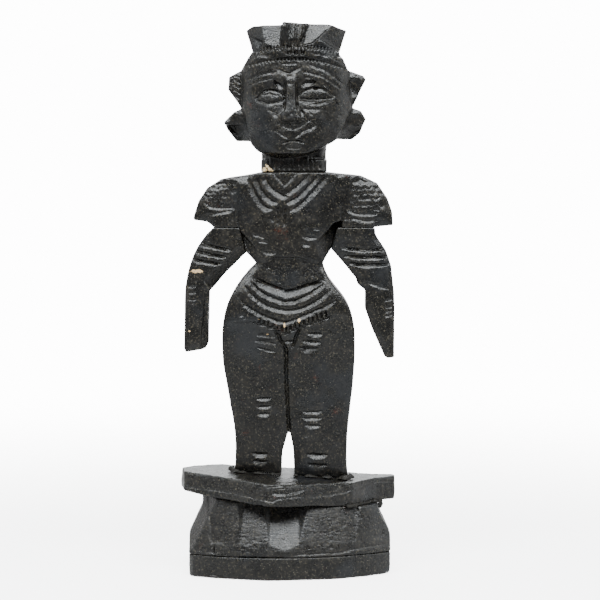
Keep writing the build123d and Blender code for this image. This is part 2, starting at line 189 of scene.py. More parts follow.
    def scoops(self, size, depth, seed, stretch=(1, 1, 1)):
        """Shallow scoops all over, as a curved knife leaves, with ridges between them."""
        i, j, k = np.nonzero(np.abs(self.field) < 2.5 * self.cell)
        points = np.stack([self.x[i], self.y[j], self.z[k]], 1) / (size * np.array(stretch, np.float32))
        cut = cell_scoops(points.astype(np.float32), seed) * depth
        self.field[i, j, k] += cut * np.clip(self.apart[i, j, k] / 1.2, 0, 1)

    def smooth(self):
        for axis in range(3):
            f = np.moveaxis(self.field, axis, 0)
            f[1:-1] = 0.25 * f[:-2] + 0.5 * f[1:-1] + 0.25 * f[2:]

    def finish(self, kind, coarse):
        """The surface as a mesh object; flat parts get larger faces where coarse is above 0."""
        points, triangles, quads = self.grid().convertToPolygons(isovalue=0.0, adaptivity=coarse)
        return mesh_object(kind + "_" + self.node, points * MM, triangles, quads)


def mesh_object(name, points, triangles, quads):
    mesh = bpy.data.meshes.new(name)
    mesh.vertices.add(len(points))
    mesh.vertices.foreach_set("co", np.ascontiguousarray(points, np.float32).ravel())
    # the field's faces come out turned inwards
    corners = np.concatenate([triangles[:, ::-1].ravel(), quads[:, ::-1].ravel()]).astype(np.int32)
    sizes = np.concatenate([np.full(len(triangles), 3), np.full(len(quads), 4)]).astype(np.int32)
    mesh.loops.add(len(corners))
    mesh.loops.foreach_set("vertex_index", corners)
    mesh.polygons.add(len(sizes))
    mesh.polygons.foreach_set("loop_start", np.concatenate([[0], np.cumsum(sizes)[:-1]]).astype(np.int32))
    mesh.update(calc_edges=True)
    mesh.validate()
    mesh.shade_smooth()
    piece = bpy.data.objects.new(name, mesh)
    scene.collection.objects.link(piece)
    return piece


def cell_scoops(points, seed):
    """0 on the ridges between random cells, rising to 1 at their middles."""
    spots = np.random.default_rng(seed).random((32, 32, 32, 3), np.float32)
    base = np.floor(points).astype(np.int32)
    nearest = np.full(len(points), 9.0, np.float32)
    for shift in np.ndindex(3, 3, 3):
        cell = base + np.array(shift, np.int32) - 1
        centre = cell + spots[cell[:, 0] & 31, cell[:, 1] & 31, cell[:, 2] & 31]
        nearest = np.minimum(nearest, ((points - centre) ** 2).sum(1))
    return np.clip(1 - nearest / 0.75, 0, 1)


def wave(X, Z, size, seed):
    """A smooth random height from about -1 to 1, varying over the given size in millimetres."""
    rng = np.random.default_rng(seed)
    total = np.zeros(X.shape)
    for _ in range(6):
        angle = rng.uniform(0, 2 * math.pi)
        pitch = size * rng.uniform(0.7, 1.6)
        phase = rng.uniform(0, 2 * math.pi)
        total += np.sin((X * math.cos(angle) + Z * math.sin(angle)) * 2 * math.pi / pitch + phase)
    return total / 3.5


# -------- strokes
def curve(*points, steps=6):
    """A smooth line through the points."""
    p = np.array([points[0], *points, points[-1]], float)
    t = (np.arange(steps) / steps)[:, None]
    out = []
    for a, b, c, d in zip(p[:-3], p[1:-2], p[2:-1], p[3:]):
        bend, twist = 2 * a - 5 * b + 4 * c - d, 3 * b - a - 3 * c + d
        out.extend(0.5 * (2 * b + (c - a) * t + bend * t**2 + twist * t**3))
    return [tuple(q) for q in out] + [points[-1]]


def along(X, Z, points):
    """For each cell: distance along a line of points, offset to its left, and the line's whole length."""
    best = np.full(X.shape, FAR)
    run = np.zeros(X.shape)
    side = np.zeros(X.shape)
    start = 0.0
    for (ax, az), (bx, bz) in zip(points[:-1], points[1:]):
        length = math.hypot(bx - ax, bz - az)
        ux, uz = (bx - ax) / length, (bz - az) / length
        t = np.clip((X - ax) * ux + (Z - az) * uz, 0, length)
        dx, dz = X - (ax + ux * t), Z - (az + uz * t)
        away = np.hypot(dx, dz)
        closer = away < best
        best = np.where(closer, away, best)
        run = np.where(closer, start + t, run)
        side = np.where(closer, np.where(ux * dz - uz * dx >= 0, away, -away), side)
        start += length
    return run, side, start


class Cuts:
    """A depth map over the (x, z) grid, built up stroke by stroke."""

    def __init__(self, blank):
        self.x, self.z = blank.x, blank.z
        self.X, self.Z = blank.X, blank.Z
        self.depth = np.zeros(self.X.shape)
        self.unsteady = 0.14 * wave(self.X, self.Z, 2.6, 90) + 0.12 * wave(self.X, self.Z, 1.5, 91)

    def window(self, points, margin):
        """The part of the grid that is within the margin of the points."""
        xs, zs = [p[0] for p in points], [p[1] for p in points]
        i0, i1 = np.searchsorted(self.x, (min(xs) - margin, max(xs) + margin))
        k0, k1 = np.searchsorted(self.z, (min(zs) - margin, max(zs) + margin))
        return slice(i0, i1), slice(k0, k1)

    def stroke(self, points, reach, profile, fade):
        """Cuts profile(offset / reach) deep along the points, shallower over the fade share at each end."""
        part = self.window(points, reach + 0.5)
        X, Z = self.X[part], self.Z[part]
        if X.size == 0:
            return
        run, side, length = along(X, Z, points)
        side = side + self.unsteady[part]
        share = np.sqrt(np.clip(np.minimum(run, length - run) / (length * fade), 0, 1))
        cut = profile(side / np.maximum(reach * share, 1e-3)) * share
        self.depth[part] = np.maximum(self.depth[part], cut)

    def groove(self, points, width, depth, fade=0.3):
        """A V groove."""
        self.stroke(points, width / 2, lambda s: depth * np.clip(1 - np.abs(s), 0, 1), fade)

    def gouge(self, points, width, depth, fade=0.3):
        """A round-bottomed groove."""
        self.stroke(points, width / 2, lambda s: depth * np.clip(1 - s * s, 0, 1), fade)

    def chip(self, points, width, depth, fade=0.3):
        """A chip: a steep wall just left of the line, and a long slope that rises to its right."""
        wall = max(0.12 * width, 0.25) / width

        def profile(s):
            return depth * np.clip(np.where(s > 0, 1 - s / wall, 1 + s), 0, 1)

        self.stroke(points, width, profile, fade)

    def dish(self, centre, radii, depth, power=1.0, turn=0.0):
        """A smooth oval hollow, added to what is there. A negative depth leaves an oval standing in it."""
        c, s = math.cos(turn), math.sin(turn)
        dx, dz = self.X - centre[0], self.Z - centre[1]
        r = ((dx * c + dz * s) / radii[0]) ** 2 + ((dz * c - dx * s) / radii[1]) ** 2
        self.depth += depth * np.clip(1 - r, 0, 1) ** power

    def nicks(self, count, seed, longest):
        """Stray knife marks and dents all over."""
        rng = np.random.default_rng(seed)
        low = (self.x[0], self.z[0])
        high = (self.x[-1], self.z[-1])
        for _ in range(count):
            x, z = rng.uniform(low, high)
            turn = rng.uniform(0, math.pi)
            length = rng.uniform(0.8, longest)
            dx, dz = 0.5 * length * math.cos(turn), 0.5 * length * math.sin(turn)
            width, depth = rng.uniform(0.5, 1.0), rng.uniform(0.1, 0.3)
            self.groove([(x - dx, z - dz), (x + dx, z + dz)], width, depth, 0.5)

    def bevel(self, inset, pairs, seed):
        """Knife bevels along the outline: (width, depth) pairs, each a flat facet."""
        loose = 1 + 0.25 * wave(self.X, self.Z, 14, seed)
        for width, depth in pairs:
            self.depth = np.maximum(self.depth, depth * np.clip(1 - inset / (width * loose), 0, 1))

    def inside(self, polygon):
        """The cells inside a polygon."""
        odd = np.zeros(self.X.shape, bool)
        for (ax, az), (bx, bz) in zip(polygon, polygon[1:] + polygon[:1]):
            if az == bz:
                continue
            spans = (self.Z >= min(az, bz)) & (self.Z < max(az, bz))
            odd ^= spans & (self.X < ax + (self.Z - az) * (bx - ax) / (bz - az))
        return odd

    def facet(self, skin, polygon, at, y, gx, gz):
        """Pares the polygon down to the plane that passes y at the (x, z) point and rises by gx and gz."""
        plane = y + gx * (self.X - at[0]) + gz * (self.Z - at[1])
        cut = np.where(self.inside(polygon), np.nan_to_num(plane - skin, nan=0.0), 0)
        self.depth = np.maximum(self.depth, cut)


def last_marks(b, fine, count, seed, longest, coarse):
    """Adds stray marks to the fine cuts, and behind if longest has two values, and makes the mesh."""
    for back, length in enumerate(longest):
        cuts = Cuts(b) if back else fine
        cuts.nicks(count, seed + back, length)
        b.relief(cuts.depth, back)
    return b.finish("carved", coarse)


# -------- head
def notches(cuts, line, pitch, length, width, depth, start):
    """Short upright notches along a line, like a string of beads."""
    line = np.array(line)
    runs = np.concatenate([[0], np.cumsum(np.hypot(*np.diff(line, axis=0).T))])
    for run in np.arange(start, runs[-1], pitch):
        x, z = np.interp(run, runs, line[:, 0]), np.interp(run, runs, line[:, 1])
        cuts.gouge([(x, z - length / 2), (x + 0.1, z + length / 2)], width, depth, 0.4)


def shape_head(b, c, inset):
    """The big cuts: bevels, crown facets, eye hollows and jaw."""
    c.bevel(np.where(b.Z > 175, inset, DEEP), ((2, 0.8), (0.9, 1)), 11)
    skin = b.skin()
    for polygon, at, y, gx, gz in (  # the crown, from -X to +X
        ([(-17.5, 223), (-17.5, 217.5), (-9.8, 214.3), (-13.2, 223)], (-12, 219), -0.2, -0.95, -0.15),
        ([(-17.5, 217.8), (-9.8, 214.2), (-11.5, 211.4), (-17.5, 211)], (-12, 213), 2.6, -0.55, 0.5),
        ([(-13.2, 223), (-9.8, 214.3), (-3.3, 212.3), (-2.3, 223)], (-5, 213), -1.6, 0.05, 0.25),
        ([(-0.6, 223), (0.4, 213.6), (4.6, 213.6), (5.6, 223)], (2, 213.6), -3, 0, 0.24),
        ([(9, 223), (4.6, 212.6), (9.8, 213.8), (19.8, 223)], (8, 213), -1.4, -0.04, 0.41),
        (
            [(19.9, 223), (10, 213.9), (13.5, 214.9), (20.5, 211), (25, 211), (25, 223)],
            (15, 217),
            0,
            0.85,
            -0.2,
        ),
    ):
        c.facet(skin, polygon, at, y, gx, gz)
    # eye sockets with the closed lids standing in them, and a hollow over the lip
    c.dish((-7, 193.8), (8.4, 5.2), 0.9, 1.1)
    c.dish((10.8, 194.2), (9.6, 5.4), 0.9, 1.1)
    c.dish((-7, 192.3), (5.8, 2.5), -0.6, 0.8, -0.05)
    c.dish((11, 192.9), (7.2, 2.6), -0.6, 0.8)
    c.dish((2.2, 179.2), (7.5, 3.6), 0.4, 1)
    # the corners between brow and nose, pared to catch the light
    left = [(-5.6, 199), (-2.7, 197.4), (-0.9, 195.2), (-1.3, 193.4), (-5, 196.8)]
    right = [(4.1, 195.4), (5.5, 197.4), (7.7, 198.7), (11.5, 198.7), (9.6, 197), (5.1, 194.5)]
    c.facet(skin, left, (-3, 196), -4, -0.08, 0.45)
    c.facet(skin, right, (7, 197), -4, 0.08, 0.42)
    # the nose is one long flat in front, from the bridge to the tip
    c.facet(skin, [(-3.4, 198.4), (5.8, 198.4), (5.8, 181), (-3.4, 181)], (1, 185), -7.2, 0, 0.11)
    # chin: two flats that meet in the middle, under the lip
    for x, nx in ((-6, -0.35), (10, 0.35)):
        away = (b.X - x) * nx - 0.5 * (b.Z - 172)
        near = (b.Z < 177) & (b.Z > 168.4)
        c.depth = np.where(near, np.maximum(c.depth, np.clip(away, 0, 2.5)), c.depth)
    # the jaw's corners
    for x, z, nx in ((-12.9, 172, -0.78), (17.4, 173.6, 0.62)):
        away = (b.X - x) * nx - (b.Z - z) * math.sqrt(1 - nx * nx)
        near = (b.Z > 167.5) & (b.Z < 181) & (np.abs(b.X - 2) > 6)
        c.depth = np.maximum(c.depth, np.where(near, np.clip(away + 1.6, 0, 4) * 1.3, 0))
    for centre, radii, turn in (  # hollows in the ears' lobes
        ((-20.6, 181.6), (3.4, 4), 0.5),
        ((26.6, 181.6), (3.6, 3.8), -0.5),
        ((26.6, 196), (3.2, 4), -0.4),
    ):
        c.dish(centre, radii, 1, 0.6, turn)


def carve_face(c):
    # brows
    c.chip(curve((-16.8, 199), (-11, 201.2), (-4.4, 202.2)), 0.8, 0.45, 0.2)
    c.chip(curve((-16.2, 196.6), (-11, 198.7), (-5.4, 199.7)), 0.8, 0.45, 0.2)
    c.chip(curve((8.4, 205), (14, 203.1), (18.6, 200.2), (22.6, 196.8)), 0.8, 0.5, 0.2)
    c.chip(curve((6, 202.2), (12, 200.9), (16.8, 198.4), (21.4, 195.2)), 0.8, 0.5, 0.2)
    c.chip(curve((6, 199.8), (10.6, 199.6), (14.4, 197.2), (17.6, 193.8)), 0.7, 0.4, 0.2)
    c.chip([(-4.5, 203.5), (0.4, 201.7), (5.4, 204.3)], 1.3, 0.7, 0.22)
    c.groove([(-2.6, 205.2), (3.8, 205.4)], 1, 0.4)
    # the closed eyes: lid lines above and below
    c.gouge(curve((-13, 191), (-10.2, 194.1), (-6.8, 195.2), (-3.2, 194.2), (-1, 191.6)), 0.9, 0.8, 0.12)
    c.groove(curve((-12.8, 190.9), (-7, 189.9), (-1.4, 191.2)), 0.9, 0.7, 0.12)
    c.gouge(curve((3.6, 192.2), (7, 195.2), (11.4, 196), (15.4, 194.8), (18.8, 192)), 0.9, 0.85, 0.12)
    c.groove(curve((4, 191.9), (10.8, 191.5), (18.2, 191.9)), 0.9, 0.9, 0.12)
    c.groove(curve((4.8, 190.2), (10.6, 189.4), (16, 190.4)), 0.7, 0.3)
    c.groove(curve((-10.6, 192.6), (-7.4, 193.4), (-4, 192.6)), 0.7, 0.35)
    c.chip([(-11.4, 193.4), (-9.6, 195)], 0.9, 0.4)
    # nose: narrow bridge, wings cut in round the tip
    c.groove([(-1.1, 198.5), (-1.3, 187.4)], 1.2, 0.8, 0.1)
    c.groove([(3.3, 198.5), (3.7, 187.4)], 1.2, 0.8, 0.1)
    c.groove(curve((-3.6, 183.6), (-2.4, 182), (1, 181.6), (4.4, 182), (5.8, 183.6)), 1, 0.5, 0.2)
    # cheeks
    c.gouge([(4.2, 190.6), (10.5, 190.2)], 0.9, 0.4)
    c.chip([(4.6, 188.1), (7.7, 187.5), (12.8, 187.2)], 1.3, 0.6)
    c.chip([(3.9, 184.8), (5.8, 187.6)], 1.9, 1)
    c.groove([(8.1, 187.2), (9.9, 184.6)], 0.9, 0.45)
    c.gouge([(-8.2, 187.2), (-3.8, 185.4)], 1, 0.4)
    c.chip([(-6.4, 185.6), (-3.8, 184.8)], 1.2, 0.6)
    # mouth: two lines like a moustache, the slit, and the lip cut back below it
    c.groove(curve((-3.4, 181.3), (1.6, 179.6), (4.4, 180.3), (9.2, 183.4)), 0.9, 0.55, 0.2)
    c.chip(curve((-5, 178.8), (-1.4, 176.9), (1.4, 175.6), (5, 178), (11.6, 181.2)), 1, 0.6, 0.15)
    c.groove(curve((-2.4, 173.9), (0.8, 174.9), (3.8, 174.8), (7, 174)), 1.2, 1, 0.2)
    c.chip([(5.6, 172.2), (2.6, 171.6), (-0.6, 172.2)], 2.4, 0.9)
    # strands down the upper lobe of the ear at -X
    for i in range(6):
        z = 201.4 - 2.1 * i
        c.groove([(-23.8, z - 1.4), (-21.6, z), (-19.2, z - 1.6)], 0.8, 0.5, 0.1)
        c.groove([(-23.4, z - 0.4), (-20.4, z - 2.6)], 0.6, 0.35, 0.2)


def carve_headdress(c):
    # pleats that spread upwards
    for x, depth in ((-1.3, 0.4), (0.2, 0.6), (1.6, 0.4), (3, 0.7), (4.3, 0.5), (5.8, 0.8), (7.2, 0.4)):
        c.groove([(2.1 + (x - 2.1) * 0.62, 210.5), (x + 0.2, 223)], 1, depth)
    # the beaded band
    upper = curve(
        (-17.4, 207.6), (-14.8, 209.2), (-9.6, 211), (-4, 211.8),
        (1.6, 212), (9.8, 211.8), (16.3, 210.8), (23.4, 208.4),
    )
    lower = curve(
        (-18.4, 204.2), (-14.6, 205), (-9.4, 206.2), (-3.1, 207.1),
        (3, 207.3), (9.6, 206.8), (16.4, 205.4), (24.4, 202.8),
    )
    c.groove(upper, 0.8, 0.3, 0.03)
    c.groove(lower, 0.9, 0.2, 0.03)
    notches(c, upper, 1.34, 2.2, 0.9, 1, 0.6)
    notches(c, lower, 1.42, 1.7, 0.8, 0.7, 0.4)
    for points in (
        [(-16.6, 207), (-12, 208.6)],
        [(9.8, 209.3), (16, 208.4)],
        [(17.6, 207.4), (22.8, 205.6)],
    ):
        c.groove(points, 0.6, 0.3, 0.2)


def carve_head():
    b = Blank("head", 0.27, ("body",))
    b.heal(0.9, 1.2)
    inset = b.inset()
    big = Cuts(b)
    shape_head(b, big, inset)
    b.relief(big.depth)
    back = Cuts(b)
    back.bevel(inset, ((3.5, 1.6), (1.4, 1.8)), 12)
    b.relief(back.depth, back=True)
    b.measure()
    b.scoops(5.5, 0.25, 13)
    b.smooth()
    fine = Cuts(b)
    carve_face(fine)
    carve_headdress(fine)
    # neck: upright knife streaks
    for i, x in enumerate(np.linspace(-9.6, 14.4, 13)):
        fine.groove([(x, 163), (x + 0.5 * math.sin(3.1 * i), 170 - 1.5 * (i % 3))], 0.9, 0.35)
    return last_marks(b, fine, count=90, seed=14, longest=(3, 6), coarse=0.01)


# -------- body
FOLDS = (  # of the belt, from the top: width, depth and the points of its line
    (
        3.1, 1.5, (-12.8, 120.4), (-7.7, 118), (-2.4, 115.8), (-0.1, 115.3),
        (3.3, 116.3), (9, 118.1), (13.3, 119.3),
    ),
    (
        1.9, 1.2, (-14.8, 119.2), (-10.8, 115.2), (-5.4, 112.4), (-0.1, 111.2),
        (5.2, 112.6), (10.6, 115.5), (14.4, 118.3),
    ),
    (
        2, 1.2, (-17.2, 117.2), (-12.7, 112.6), (-7.7, 109.4), (-2.4, 107.9),
        (1.4, 107.7), (5.2, 108.6), (10.2, 110.9), (16.9, 115.6),
    ),
    (
        1.9, 1.2, (-19.7, 113.8), (-17.6, 110.8), (-13.8, 107.8), (-6.2, 104.2),
        (-0.9, 103), (3.7, 104.6), (11.3, 107.8), (19.1, 111.4),
    ),
)
FRINGE_FOOT = curve(
    (-15.4, 103), (-7.7, 100.5), (-4.7, 99.4), (-0.9, 97.9),
    (2.9, 99.4), (7.5, 101.3), (12.8, 102.9), (18.6, 105.6),
)
LEG_CUTS = (  # each a chip: its two ends, width and depth
    ((-4.9, 96.2), (-13, 96.9), 1.8, 1),
    ((-4.6, 93.4), (-13.6, 94.8), 2.4, 1.2),
    ((-13.4, 92.6), (-4.4, 90.4), 1.2, 0.7),
    ((7.2, 98.3), (14.4, 97.9), 2.1, 1),
    ((5, 95.2), (13.8, 94.4), 2, 1),
    ((3.4, 92.5), (12.6, 91.9), 2.8, 1.2),
    ((-13, 71.4), (-6.4, 71.8), 1.5, 0.8),
    ((-13, 68.2), (-6.4, 68.4), 1.5, 0.8),
    ((-12.6, 65.2), (-6.8, 65.4), 1.5, 0.8),
    ((5.4, 66.2), (14.2, 66.2), 1.5, 0.8),
    ((5.4, 63.6), (14, 63.6), 1.5, 0.8),
    ((6.2, 60.6), (13.6, 60.4), 1.5, 0.8),
    ((-14.6, 49.4), (-8, 49), 2.2, 1.1),
    ((-14.4, 46.2), (-8.2, 45.8), 2.4, 1.1),
    ((7.4, 48.9), (16.2, 48.7), 2.4, 1.2),
    ((7.8, 44.8), (15.8, 44.4), 2.4, 1.1),
)


def scales(cuts, low, high, wide, tall, seed):
    """A patch of small uneven scales, each one shallow hanging cut, as on the sleeves."""
    rng = np.random.default_rng(seed)
    for row, z in enumerate(np.arange(low[1], high[1], tall)):
        for x in np.arange(low[0] + (row % 2) * wide / 2, high[0], wide):
            a, b, c = rng.uniform(-0.5, 0.5, 3)
            sag = tall * rng.uniform(0.4, 0.9)
            line = curve((x, z + a), (x + wide / 2 + b, z - sag), (x + wide, z + c), steps=4)
            cuts.chip(line, rng.uniform(0.8, 1.2), rng.uniform(0.25, 0.5), 0.35)


def shape_body(b, c, inset):
    """The big cuts: bevels, rounded thighs, sunk belly and waist facets."""
    X, Z = b.X, b.Z
    # the edges are bevelled, but not where the neck and the arms join
    under_neck = (Z > 150) * np.clip((18 - np.abs(X - 2)) / 5, 0, 1)
    over_arms = ((np.abs(X + 24.5) < 5.6) | (np.abs(X - 27.2) < 7.4)) * (np.abs(Z - 140.4) < 3)
    c.bevel(inset + 9 * np.maximum(under_neck, over_arms), ((4, 1.3), (1.3, 1.6)), 3)
    outer = np.minimum(X + 26, 26.5 - X)
    c.depth = np.maximum(c.depth, np.where(Z < 112, 0.03 * np.clip(7 - outer, 0, 9) ** 2, 0))
    # the legs stand back from the fringe
    edge = np.interp(b.x, [p[0] for p in FRINGE_FOOT], [p[1] for p in FRINGE_FOOT])[:, None]
    c.depth = np.maximum(c.depth, 0.9 * np.clip((edge - Z) / 1.2, 0, 1) * np.clip((Z - 60) / 30, 0, 1))
    # the chest rounds down to the sleeves at its sides
    slant = 0.175 * (Z - 138)
    gap = np.minimum(X + 20.5 + slant, 21 + slant - X)
    sides = np.where(gap > 0, 1.2 * np.clip(1 - gap / 6, 0, 1) * np.clip((Z - 134) / 6, 0, 1), 0)
    c.depth = np.maximum(c.depth, sides)
    skin = b.skin()
    right = [(21.5, 143), (20.9, 135.5), (15, 128), (12.6, 126.4), (7.2, 128), (10.7, 133.6), (18.5, 142)]
    left = [(-19.4, 139), (-16.2, 131), (-12.6, 126.2), (-8.6, 124.6), (-11.6, 130), (-15.6, 135)]
    c.facet(skin, right, (12, 134), -3.4, 0.72, 0.04)
    c.facet(skin, left, (-13, 131), -3.2, -0.62, -0.15)
    # the belly is pared back under the ribs, above the first fold of the skirt
    belly = [(-14, 119.6), (-7.7, 117.6), (0, 115), (9, 117.6), (14.6, 118.8), (12, 126), (4, 128.4)]
    belly += [(-6, 128.4), (-11.5, 126)]
    c.facet(skin, belly, (0, 121), -3.3, 0, 0.1)


def carve_chest(c):
    # sleeves: a faint seam against the chest, two creases and a net of small scales
    c.groove([(-20.8, 149), (-20.5, 143.7), (-18.3, 137)], 0.9, 0.45, 0.1)
    c.groove([(21.6, 150.4), (21.2, 142.6)], 0.9, 0.45, 0.1)
    c.chip(curve((-32.6, 149.2), (-27, 148.2), (-21.4, 148.4)), 1.2, 0.6, 0.15)
    c.chip(curve((-32, 145.4), (-27, 146.4), (-22.2, 147.3)), 1.1, 0.55, 0.15)
    c.chip(curve((23, 148), (26.8, 146.2), (31, 145.8), (36.6, 146)), 1.2, 0.6, 0.15)
    c.chip(curve((24.6, 145), (29.7, 143.3), (37.2, 143.5)), 1.1, 0.55, 0.15)
    scales(c, (-33.4, 150.4), (-21.6, 159.6), 2.4, 1.7, 21)
    scales(c, (24.2, 148.6), (37, 160.4), 3.2, 2.2, 22)
    # necklaces
    for points, width, depth in (
        (curve((-15.3, 160.2), (-12.9, 154.4), (-9.4, 149.2), (-5.9, 148)), 2.2, 1.1),
        (curve((-12.6, 161.4), (-11, 157.2), (-8, 152.6), (-3.7, 150.2)), 2.2, 1.1),
        (curve((-9.3, 161.4), (-7.4, 158), (-4.4, 154.9), (0.2, 152.4)), 2.2, 1.1),
        (curve((0.4, 146.5), (5.8, 151), (10.8, 156.2), (15.6, 162.1)), 2.2, 1.1),
        (curve((-0.8, 150), (5, 154), (9, 158.2), (12.2, 162)), 2, 1.1),
        (curve((-1.4, 153.6), (3.6, 157.2), (8.2, 162)), 1.9, 1),
    ):
        c.chip(points, width, depth, 0.14)
    # strands at the throat, and the pendant below
    for x in (-6.4, -5, -3.4, -1.6, 0.2, 2, 3.8):
        c.groove([(x, 162.6), (-1.2 + (x + 1.2) * 0.4, 156 + 0.6 * abs(x + 1.2))], 0.9, 0.6, 0.1)
    c.groove([(-4.1, 149.4), (-3.8, 141.4)], 1, 0.9, 0.1)
    c.groove([(-1, 148.6), (-1.6, 140.6)], 1.1, 1, 0.1)
    c.groove([(-2.4, 145.6), (-0.6, 145.2)], 0.9, 0.7)
    c.groove([(-6.3, 145.6), (-5.9, 142.4)], 0.9, 0.5)
    # ribs
    c.chip([(-14.6, 138), (-8.8, 136.5)], 1.2, 0.6)
    c.groove([(-13, 134.9), (-7.6, 134.3)], 1, 0.45)
    c.chip([(-10.6, 130.7), (-4.5, 130.4)], 1.6, 0.7)
    c.groove([(9.4, 139.8), (13, 139.5)], 0.9, 0.4)
    c.chip([(5.4, 136.6), (12, 136.5)], 1.4, 0.7)
    c.chip([(5.1, 133.8), (9.4, 133.5)], 1.4, 0.7)


def carve_skirt(c):
    for width, depth, *points in FOLDS:
        c.chip(curve(*points), width, depth, 0.1)
    # the fringe hangs from the last fold, and the flap hangs under it
    foot = np.array(FRINGE_FOOT)
    fringe_top = np.array(curve(*FOLDS[-1][2:]))
    for i, x in enumerate(np.arange(-11.2, 16, 1.75)):
        top = np.interp(x, fringe_top[:, 0], fringe_top[:, 1]) - 2 + 0.3 * math.sin(4.1 * i)
        low = np.interp(x, foot[:, 0], foot[:, 1]) + 0.4
        lean = 0.03 * x + 0.15 * math.sin(5.3 * i)
        c.gouge([(x, top), (x + lean, low)], 0.9 + 0.3 * math.sin(2.7 * i), 1.2, 0.1)
    c.groove(FRINGE_FOOT, 1.5, 1.1, 0.08)
    c.groove([(-5.4, 100), (-2.6, 94.4), (-0.9, 92), (-0.5, 86)], 2, 1.5, 0.1)
    c.groove([(4.6, 100.2), (2.6, 94.6), (1.4, 92)], 1.9, 1.4, 0.1)
    c.groove([(-2.2, 94.3), (2.7, 94.9)], 1.1, 0.8, 0.2)
    c.groove([(-19.6, 104.8), (-17.2, 105.4)], 1, 0.6)
    c.gouge([(-18.2, 103.6), (-16.6, 104.6)], 1, 0.5)


def carve_body():
    b = Blank("body", 0.33, ("head", "right_arm", "left_arm", "foot_slab"))
    b.heal(1, 1.3)
    inset = b.inset()
    big = Cuts(b)
    shape_body(b, big, inset)
    b.relief(big.depth)
    back = Cuts(b)
    back.bevel(inset, ((5, 1.8), (1.8, 2.2)), 4)
    back.groove(curve((-0.6, 100), (-0.4, 80), (0.4, 57.6)), 2.4, 1.6, 0.05)
    b.relief(back.depth, back=True)
    b.measure()
    b.scoops(8, 0.3, 5, (1, 1, 1.8))
    b.smooth()
    fine = Cuts(b)
    carve_chest(fine)
    carve_skirt(fine)
    fine.groove(curve((-0.8, 93), (-0.7, 80), (-0.2, 68), (0.4, 57.6)), 2.2, 1.6, 0.04)
    for start, end, width, depth in LEG_CUTS:
        fine.chip([start, end], width, depth)
    return last_marks(b, fine, count=150, seed=24, longest=(4, 7), coarse=0.01)


# -------- arms
def rough_arm(node, seed, inner_edge):
    """An arm with its edges bevelled and the knife's scoops on it, ready for the fine cuts."""
    b = Blank(node, 0.3, ("body",))
    inset = np.where(b.Z < 136, b.inset(), DEEP)
    for back in (False, True):
        c = Cuts(b)
        c.bevel(inset, ((3, 1.3), (1, 1.4)), seed + back)
        if not back:
            c.facet(b.skin(), *inner_edge)
        b.relief(c.depth, back=back)
    b.measure()
    b.scoops(6.5, 0.25, seed + 3, (1, 1, 1.8))
    b.smooth()
    return b


def carve_right_arm():
    elbow = [(-12, 135), (-22, 135), (-36, 121), (-31, 116.5), (-12, 116.5)]
    b = rough_arm("right_arm", 31, (elbow, (-18.3, 134.6), -2.9, 0.52, -0.53))
    c = Cuts(b)
    for points in (
        [(-36.6, 135), (-32, 133.4), (-23.6, 131.6)],
        [(-38, 131.4), (-33, 130.2), (-24.6, 128.6)],
        [(-38.8, 127.9), (-34, 127), (-26, 125.8)],
    ):
        c.chip(points, 1.5, 0.8, 0.2)
    for z in (116.6, 114.2, 111.2):
        c.groove([(-39.8, z), (-36.4, z + 0.3)], 0.9, 0.5)
    # the hand is broken away on the inner side, down to rough wood
    c.dish((-32.4, 97), (2.6, 8), 1.6, 0.6)
    c.gouge([(-33, 112), (-33.2, 92)], 2.2, 0.8, 0.2)
    rng = np.random.default_rng(33)
    for _ in range(14):
        x, z = rng.uniform(-34.2, -31.6), rng.uniform(92.5, 110)
        c.groove([(x, z), (x + rng.uniform(-0.8, 0.8), z + rng.uniform(2, 5))], 0.9, rng.uniform(0.3, 0.8))
    return last_marks(b, c, count=50, seed=36, longest=(4, 5), coarse=0.008)


def carve_left_arm():
    elbow = [(12, 134), (21, 134), (31, 121), (26.5, 117), (12, 117)]
    b = rough_arm("left_arm", 41, (elbow, (18.9, 133.3), -2.9, -0.56, -0.47))
    c = Cuts(b)
    for points in (
        [(22, 132.6), (30, 131.4), (38.8, 132)],
        [(23.2, 129.3), (31, 128.6), (40, 128.9)],
        [(24.6, 126.3), (32, 125.4), (40.9, 126.2)],
    ):
        c.chip(points, 1.5, 0.8, 0.2)
    for z in (111.2, 108.4, 106.6, 105):
        c.groove([(38.6, z - 0.2), (42, z + 0.3)], 0.9, 0.6)
    c.groove([(31, 118.6), (40, 115.6)], 1.6, 0.6)
    return last_marks(b, c, count=50, seed=46, longest=(4, 5), coarse=0.008)


